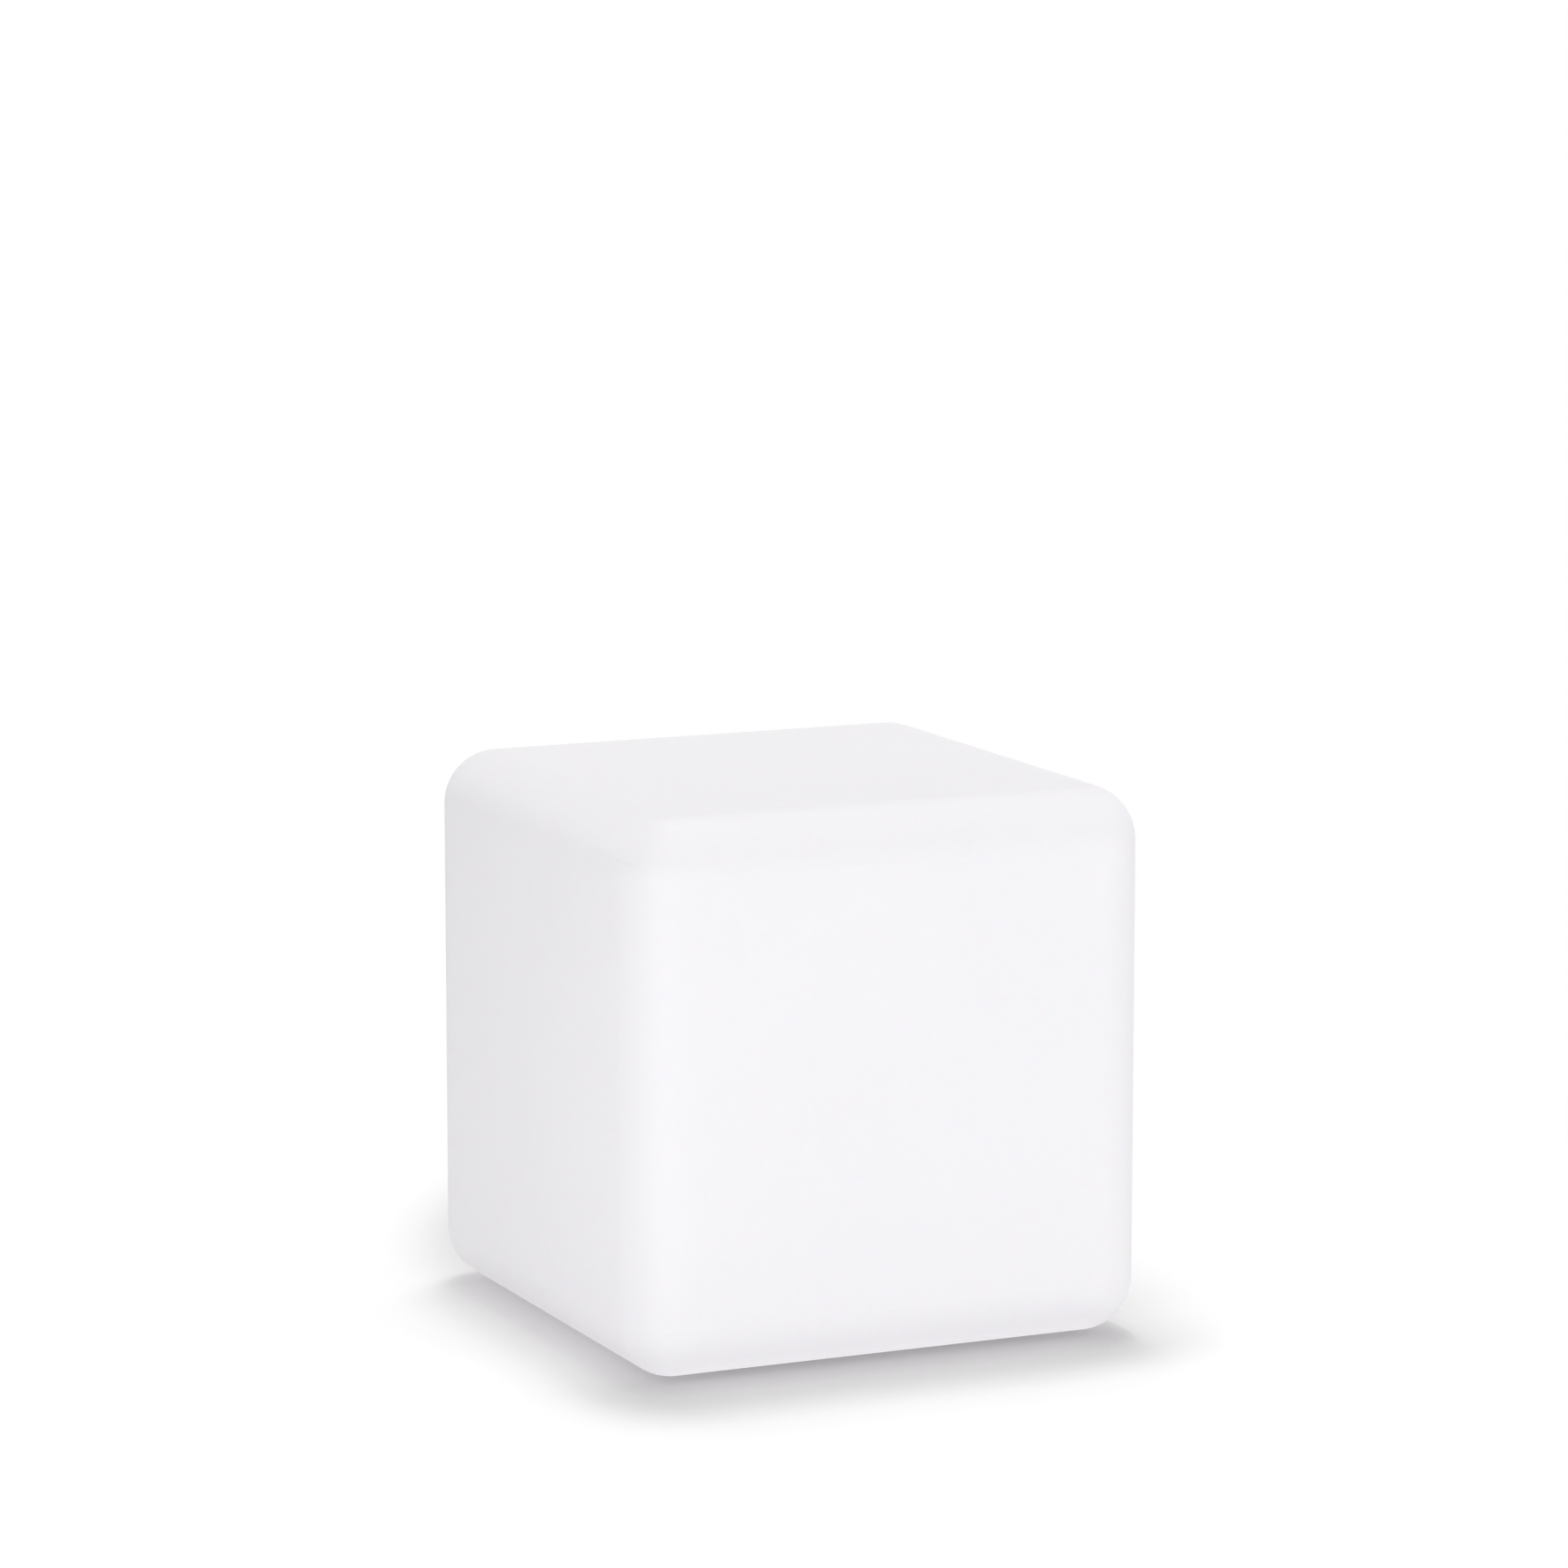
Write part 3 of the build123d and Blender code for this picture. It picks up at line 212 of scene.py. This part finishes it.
# A small round one on the front face
VENT_MARK = Vector((-0.013, -HALF, 0.212))
VENT_MARK_R = 0.004
VENT_MARK_SOFT = 0.004
# Two nearly level lines in the skin of the left-hand face, which wander a little up and down
LEFT_SKIN = (0.010 - HALF, 0.005 - HALF)
LINE_WANDER = 0.0015
EDGE_LINE = {"low": 0.3735, "thick": 0.0006, "soft": 0.0012, "ends": (-0.187, -0.119), "fade": 0.012}
FOOT_LINE = {"low": 0.0365, "thick": 0.0004, "soft": 0.0010, "ends": (-0.015, 0.053), "fade": 0.020}


def shell_finish():
    """Translucent white moulded polyethylene: satin, faintly wavy, with the mould's marks, and painted
    light on its inner skin.
    """
    made = Finish("shell_plastic", Specular_IOR_Level=0.27, Subsurface_Weight=0.12, Subsurface_Scale=0.01)
    x, y, z = made.xyz()
    vent = made.near(VENT_MARK, VENT_MARK_R, VENT_MARK_SOFT)
    height = made.maths("ADD", z, made.span(made.noise(30.0), -LINE_WANDER, LINE_WANDER))

    def line(low, thick, soft, ends, fade):
        across = made.between(height, low, low + thick, soft)
        return made.product(across, made.between(y, *ends, fade))

    lines = made.maths("MAXIMUM", line(**EDGE_LINE), line(**FOOT_LINE))
    lines = made.product(made.step(x, *LEFT_SKIN), lines)

    cloud = made.noise(6.0)
    grain = made.noise(1100.0, 1.0)
    white = made.blend(cloud, *CLOUD_WHITES)
    white = made.blend(made.span(grain, 0.0, GRAIN_SHARE), white, GRAIN_WHITE)
    depth = made.maths("SUBTRACT", SHELL_R, made.past_core(*zip((x, y, z), SHELL_MID)))
    # Painted light: the inner skin is whiter, for the light that passes through the wall
    white = made.blend(made.step(depth, *INNER_SKIN), white, INNER_PAINTED_LIGHT)
    tint = made.maths("MAXIMUM", made.product(vent, VENT_TINT), made.product(lines, LINE_TINT))
    made.colour(tint, white, MARK_GREY)

    rubbed = made.noise(40.0, 3.0)
    made.roughness(rubbed, 0.46, 0.58)

    waves = made.noise(5.0, 1.0)
    stipple = made.noise(420.0)
    pores = made.cells(900.0)
    sunk = made.maths("SUBTRACT", 1.0, made.maths("MAXIMUM", made.product(vent, VENT_SINK), lines))
    made.relief((waves, 2200 * MICRON), (stipple, 40 * MICRON), (pores, 20 * MICRON), (sunk, 100 * MICRON))
    return made.material


def moulded_finish(name, dark, light, rough, grain=1600.0, depth=30 * MICRON, **uniform):
    """Injection-moulded plastic: two close colours, fine spark-eroded grain, rubbed gloss."""
    made = Finish(name, **uniform)
    cloud = made.noise(25.0, 3.0)
    made.colour(cloud, dark, light)
    rubbed = made.noise(90.0, 3.0)
    made.roughness(rubbed, rough - 0.07, rough + 0.07)
    eroded = made.noise(grain, 2.0, 0.7)
    waves = made.noise(60.0, 1.0)
    made.relief((eroded, depth), (waves, 100 * MICRON))
    return made.material


def rubber_finish(name, dark, dusty):
    """Matt rubber with dust in its grain."""
    made = Finish(name, Specular_IOR_Level=0.3)
    dust = made.step(made.noise(160.0, 4.0, 0.65), 0.45, 0.75)
    made.colour(dust, dark, dusty)
    made.roughness(dust, 0.62, 0.85)
    grain = made.noise(1400.0)
    made.relief((grain, 50 * MICRON))
    return made.material


def metal_finish(name, dark, light, rough, brushed):
    """Metal with a tone that wanders, and fine scratches, squeezed by the brushed factors."""
    made = Finish(name, Metallic=1.0)
    cloud = made.noise(140.0, 4.0, 0.6)
    made.colour(cloud, dark, light)
    scratches = made.noise(700.0, 3.0, 0.6, made.stretch(brushed))
    made.roughness(scratches, rough - 0.08, rough + 0.1)
    made.relief((scratches, 10 * MICRON))
    return made.material


def zinc_finish():
    """Bright zinc plate: crystal-like mottling with a cool and a yellowish tone."""
    made = Finish("zinc_steel", Metallic=1.0)
    cloud = made.noise(70.0, 4.0)
    flakes = made.cells(260.0)
    tone = made.blend(cloud, (0.60, 0.62, 0.66), (0.74, 0.73, 0.68))
    made.colour(made.span(flakes, 0.0, 0.5), tone, (0.80, 0.81, 0.83))
    stains = made.noise(220.0, 3.0)
    made.roughness(stains, 0.26, 0.42)
    rolled = made.noise(900.0, 3.0, 0.6, made.stretch((0.15, 1.0, 1.0)))
    made.relief((rolled, 10 * MICRON))
    return made.material


def threaded_finish(name, tones, axis, pitch, ends, depth, **uniform):
    """A finish with a screw thread between two heights on an upright axis."""
    made = Finish(name, **uniform)
    cloud = made.noise(90.0, 3.0)
    made.colour(cloud, *tones)
    rubbed = made.noise(300.0, 3.0)
    made.roughness(rubbed, 0.32, 0.5)
    threaded = made.between(made.xyz()[2], *ends, THREAD_FADE)
    grain = made.noise(1500.0)
    made.relief((made.product(made.thread(axis, pitch), threaded), depth), (grain, 20 * MICRON))
    return made.material


def opal_finish():
    """Milk-white diffuser that light passes into."""
    made = Finish(
        "bulb_opal",
        Subsurface_Weight=0.6,
        Subsurface_Scale=0.006,
        Subsurface_Radius=EVEN_DEPTH,
        Specular_IOR_Level=0.45,
    )
    cloud = made.noise(30.0)
    made.colour(cloud, (0.90, 0.895, 0.87), (0.94, 0.935, 0.92))
    rubbed = made.noise(120.0, 3.0)
    made.roughness(rubbed, 0.30, 0.42)
    grain = made.noise(900.0)
    made.relief((grain, 10 * MICRON))
    return made.material


def circuit_finish(name, dark, light, track):
    """Lacquered board with faint printed tracks."""
    made = Finish(name, Specular_IOR_Level=0.5)
    tracks = made.step(made.cells(330.0), 0.28, 0.32)
    cloud = made.noise(60.0)
    made.colour(made.product(tracks, 0.5), made.blend(cloud, dark, light), track)
    lacquer = made.noise(200.0)
    made.roughness(lacquer, 0.25, 0.4)
    made.relief((tracks, 40 * MICRON))
    return made.material


# Light goes about as far into milky plastic in every colour
EVEN_DEPTH = (1.0, 0.95, 0.9)

# Moulded plastics: dark and light tone, roughness
PLASTICS = {
    "tray_plastic": ((0.70, 0.70, 0.71), (0.76, 0.76, 0.765), 0.48),
    "gland_plastic": ((0.20, 0.205, 0.21), (0.26, 0.265, 0.27), 0.45),
    "holder_core_plastic": ((0.72, 0.70, 0.64), (0.79, 0.77, 0.71), 0.55),
    "lead_brown": ((0.10, 0.035, 0.015), (0.15, 0.055, 0.025), 0.42),
    "lead_blue": ((0.015, 0.09, 0.32), (0.03, 0.13, 0.42), 0.42),
    "bulb_insulator": ((0.012, 0.012, 0.014), (0.03, 0.028, 0.03), 0.15),
    "bulb_plastic": ((0.82, 0.82, 0.81), (0.87, 0.87, 0.86), 0.35),
    "led_phosphor": ((0.90, 0.62, 0.05), (0.95, 0.70, 0.10), 0.3),
}

# Rubbers: clean and dusty tone
RUBBERS = {
    "gasket_rubber": ((0.025, 0.025, 0.027), (0.07, 0.068, 0.065)),
    "foot_rubber": ((0.05, 0.05, 0.053), (0.12, 0.117, 0.112)),
}

# Metals: dark and light tone, roughness, and how far the scratches are squeezed along each axis
METALS = {
    "stainless_steel": ((0.56, 0.55, 0.54), (0.68, 0.67, 0.66), 0.28, (1, 1, 1)),
    "brass": ((0.70, 0.50, 0.22), (0.83, 0.64, 0.33), 0.26, (1, 1, 8)),
    "contact_bronze": ((0.68, 0.42, 0.24), (0.80, 0.55, 0.35), 0.24, (1, 6, 1)),
    "bulb_metal": ((0.70, 0.69, 0.67), (0.80, 0.79, 0.77), 0.24, (1, 1, 10)),
}

# Boards: dark and light tone, and that of the tracks
BOARDS = {
    "led_board": ((0.80, 0.80, 0.80), (0.86, 0.86, 0.85), (0.70, 0.70, 0.68)),
    "circuit_board": ((0.02, 0.12, 0.04), (0.03, 0.17, 0.06), (0.05, 0.25, 0.09)),
}

FINISHES = {
    "shell_plastic": shell_finish(),
    "zinc_steel": zinc_finish(),
    "bulb_opal": opal_finish(),
    "holder_plastic": moulded_finish(
        "holder_plastic",
        (0.80, 0.795, 0.77),
        (0.85, 0.845, 0.825),
        0.24,
        grain=500.0,
        depth=12 * MICRON,
        Coat_Weight=0.25,
    ),
    "terminal_plastic": moulded_finish(
        "terminal_plastic",
        (0.74, 0.72, 0.63),
        (0.81, 0.79, 0.71),
        0.38,
        Subsurface_Weight=0.2,
        Subsurface_Scale=0.003,
        Subsurface_Radius=EVEN_DEPTH,
    ),
}
MAKERS = (
    (moulded_finish, PLASTICS),
    (rubber_finish, RUBBERS),
    (metal_finish, METALS),
    (circuit_finish, BOARDS),
)
for make, table in MAKERS:
    for slot, looks in table.items():
        FINISHES[slot] = make(slot, *looks)

# Pieces whose thread is too fine for the solids get a finish of their own
GLAND_LOW, GLAND_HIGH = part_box("gland_body")
GLAND_PITCH = 0.0015
GLAND_THREAD_LENGTH = 0.011
NIPPLE_PITCH = 0.001
THREAD_FADE = 0.0003
THREADED = {
    # The nipple is threaded from end to end
    "holder_nipple": threaded_finish(
        "nipple_thread",
        tones=((0.60, 0.61, 0.63), (0.74, 0.74, 0.73)),
        axis=Vector((0, 0, 0)),
        pitch=NIPPLE_PITCH,
        ends=(0.0, 1.0),
        depth=400 * MICRON,
        Metallic=1.0,
    ),
    "gland_body": threaded_finish(
        "gland_thread",
        tones=PLASTICS["gland_plastic"][:2],
        axis=(GLAND_LOW + GLAND_HIGH) / 2,
        pitch=GLAND_PITCH,
        ends=(GLAND_HIGH.z - GLAND_THREAD_LENGTH, GLAND_HIGH.z),
        depth=600 * MICRON,
    ),
}

slot_of = {part["node"]: part["material_slot"] for part in frame["record"]["subparts"]}
for name, piece in frame["nodes"].items():
    finish = THREADED.get(name) or FINISHES[slot_of[name]]
    piece.data.materials.clear()
    piece.data.materials.append(finish)


FLOOR_SIZE = 80.0
FLOOR_CELLS = 8
# The tone that throws light back at the lamp, and the gain and faint glow where it is looked at
FLOOR_GREY = (0.80, 0.80, 0.80, 1)
FLOOR_GAIN = 1.07
FLOOR_GLOW = 0.017
# Between these distances from the lamp's middle it turns from shadowed to plain white
SHADOW_REACH = 0.70
WHITE_FROM = 1.0
# Painted shadow: the ground is painted darker around the lamp, most in front and under its edge,
# on top of the shadow that the lamps cast. Each pair from here on says where a shade begins and where it
# is full
RIM_REACH = 0.10
RIM_SHADE = 0.05
FRONT_X = (-1.5 * HALF, -HALF)
FRONT_Y = (-HALF / 4, -1.25 * HALF)
FRONT_SHADE = 0.17
CONTACT_SHADE = 0.28
CONTACT_EDGE = (0.015, -0.04)
# Behind the lamp lies an oval pool of painted shadow, and a fainter painted one along its right side
POOL_AT = (0.05, 0.30, 0)
POOL_TURN = radians(56.3)
POOL_SIZE = (0.40, 0.225, 1)
POOL_EDGE = (1.05, 0.5)
POOL_SHADE = 0.42
SIDE_REACH = 0.15
SIDE_X = (0.8 * HALF, 1.05 * HALF)
SIDE_Y = (-HALF, -HALF / 4)
SIDE_SHADE = 0.16
# Under the edge the ground glows as a painted fill light, unseen where it is looked at, that lights the
# lower rounding from below
PAINTED_FILL_GLOW = 0.36
PAINTED_FILL_EDGE = (0.012, -0.02)


def painted_ground_shadow(made, from_edge):
    """Painted shadow: share of its tone that the ground loses at each place around the lamp."""
    x, y, _ = made.xyz()
    front = made.product(made.step(x, *FRONT_X), made.step(y, *FRONT_Y))
    rim = made.step(from_edge, RIM_REACH, 0.0)
    shade = made.product(rim, made.maths("MULTIPLY_ADD", front, FRONT_SHADE, RIM_SHADE))
    contact = made.step(from_edge, *CONTACT_EDGE)
    shade = made.maths("MULTIPLY_ADD", contact, CONTACT_SHADE, shade)
    beside = made.step(from_edge, SIDE_REACH, 0.0)
    side = made.product(beside, made.step(x, *SIDE_X), made.step(y, *SIDE_Y))
    shade = made.maths("MULTIPLY_ADD", side, SIDE_SHADE, shade)
    pool = made.step(made.oval(POOL_AT, POOL_TURN, POOL_SIZE), *POOL_EDGE)
    return made.maths("MAXIMUM", shade, made.product(pool, POOL_SHADE))


def floor_finish():
    """Pale ground. What looks at it sees it white, with the lamp's cast shadow and a painted shadow around
    it; from below it is open.
    """
    made = Finish("floor")
    made.nodes.remove(made.shader)

    def lit_and_glowing(tone, strength):
        diffuse = made.node("BsdfDiffuse", {"Color": tone}).outputs[0]
        glow = made.node("Emission", {"Strength": strength}).outputs[0]
        return made.node("AddShader", {0: diffuse, 1: glow}).outputs[0]

    x, y, _ = made.xyz()
    from_edge = made.maths("SUBTRACT", made.past_core((x, 0.0), (y, 0.0)), SHELL_R)
    # Painted shadow: the ground's tone is lowered around the lamp where it is looked at
    kept = made.maths("SUBTRACT", 1.0, painted_ground_shadow(made, from_edge))
    shadowed = lit_and_glowing(made.product(kept, FLOOR_GAIN), FLOOR_GLOW)
    white = made.node("Emission", {"Strength": 1.0}).outputs[0]
    far = made.step(made.length(made.place), SHADOW_REACH, WHITE_FROM)
    looked_at = made.mix_shaders(far, shadowed, white)
    # Painted fill light: under the lamp's edge the ground glows, only for light that bounces off it
    plain = lit_and_glowing(FLOOR_GREY, made.product(made.step(from_edge, *PAINTED_FILL_EDGE), PAINTED_FILL_GLOW))
    ground = made.mix_shaders(made.seen(), plain, looked_at)
    under = made.node("NewGeometry", {}).outputs["Backfacing"]
    clear = made.node("BsdfTransparent", {}).outputs[0]
    open_below = made.mix_shaders(under, ground, clear)
    made.feed(made.nodes["Material Output"].inputs["Surface"], open_below)
    return made.material


def make_floor():
    """Wide square of ground, with the lamp in its middle."""
    mesh = bpy.data.meshes.new("floor")
    grid = bmesh.new()
    bmesh.ops.create_grid(grid, x_segments=FLOOR_CELLS, y_segments=FLOOR_CELLS, size=FLOOR_SIZE / 2)
    grid.to_mesh(mesh)
    grid.free()
    mesh.materials.append(floor_finish())
    piece = bpy.data.objects.new("floor", mesh)
    SCENE.collection.objects.link(piece)
    return piece


floor = make_floor()

WORLD_WHITE = (1, 1, 1, 1)
WORLD_LIGHT = 0.625


def make_world():
    """Even soft light from all round, white where it is looked at."""
    world = bpy.data.worlds.new("studio")
    SCENE.world = world
    world.use_nodes = True
    made = Tree(world.node_tree)
    made.nodes.clear()
    lit, white = [
        made.node("Background", {"Color": WORLD_WHITE, "Strength": strength}).outputs[0]
        for strength in (WORLD_LIGHT, 1.0)
    ]
    made.node("OutputWorld", {"Surface": made.mix_shaders(made.seen(), lit, white)})


# Panels of light around the lamp: bearing and height over the horizon in degrees as seen from its
# middle (bearing 0 in front, positive to the right), distance, width and height in metres, watts
BEHIND = 180 + CAMERA_BEARING
PANEL_AIM = Vector((0, 0, HALF))
PANELS = {
    "over_wide": (BEHIND, 71, 6.0, 3.0, 1.25, 61.0),
    "over_strip": (BEHIND, 83, 6.0, 0.6, 1.25, 48.0),
    "key_right": (30, 0, 3.0, 0.9, 0.4, 18.3),
    "key_left": (-42, 0, 3.0, 0.9, 0.4, 12.4),
    "edge_left": (-65, 0, 1.0, 0.3, 0.4, 0.74),
}


def light_panel(name, bearing, rise, distance, width, height, watts):
    """Rectangular light that looks at the lamp's middle and isn't seen itself."""
    light = bpy.data.lights.new(name, "AREA")
    light.shape = "RECTANGLE"
    light.size = width
    light.size_y = height
    light.energy = watts
    stand = bpy.data.objects.new(name, light)
    SCENE.collection.objects.link(stand)
    turn, lift = radians(bearing), radians(rise)
    aim = -Vector((sin(turn) * cos(lift), -cos(turn) * cos(lift), sin(lift)))
    across = Vector((cos(turn), sin(turn), 0))
    facing = Matrix((across, across.cross(aim), -aim)).transposed().to_4x4()
    stand.matrix_world = Matrix.Translation(PANEL_AIM - aim * distance) @ facing
    stand.visible_camera = False


make_world()
for name, panel in PANELS.items():
    light_panel(name, *panel)


def make_camera():
    """The photograph's camera, placed from the cube's centre."""
    level = cos(CAMERA_TILT)
    forward = Vector((-sin(CAMERA_TURN) * level, cos(CAMERA_TURN) * level, -sin(CAMERA_TILT)))
    right = Vector((cos(CAMERA_TURN), sin(CAMERA_TURN), 0))
    up = right.cross(forward)
    offset_x, offset_y = [
        (pixel - PHOTO_PX / 2) / FOCAL_PX * CAMERA_DEPTH for pixel in CUBE_CENTRE_PX
    ]
    place = SHELL_MID - forward * CAMERA_DEPTH - right * offset_x + up * offset_y
    camera = bpy.data.cameras.new("camera")
    camera.sensor_width = SENSOR_MM
    camera.lens = FOCAL_PX / PHOTO_PX * SENSOR_MM
    stand = bpy.data.objects.new("camera", camera)
    SCENE.collection.objects.link(stand)
    facing = Matrix((right, up, -forward)).transposed().to_4x4()
    stand.matrix_world = Matrix.Translation(place) @ facing
    SCENE.camera = stand


make_camera()

SCENE.view_settings.view_transform = "Standard"
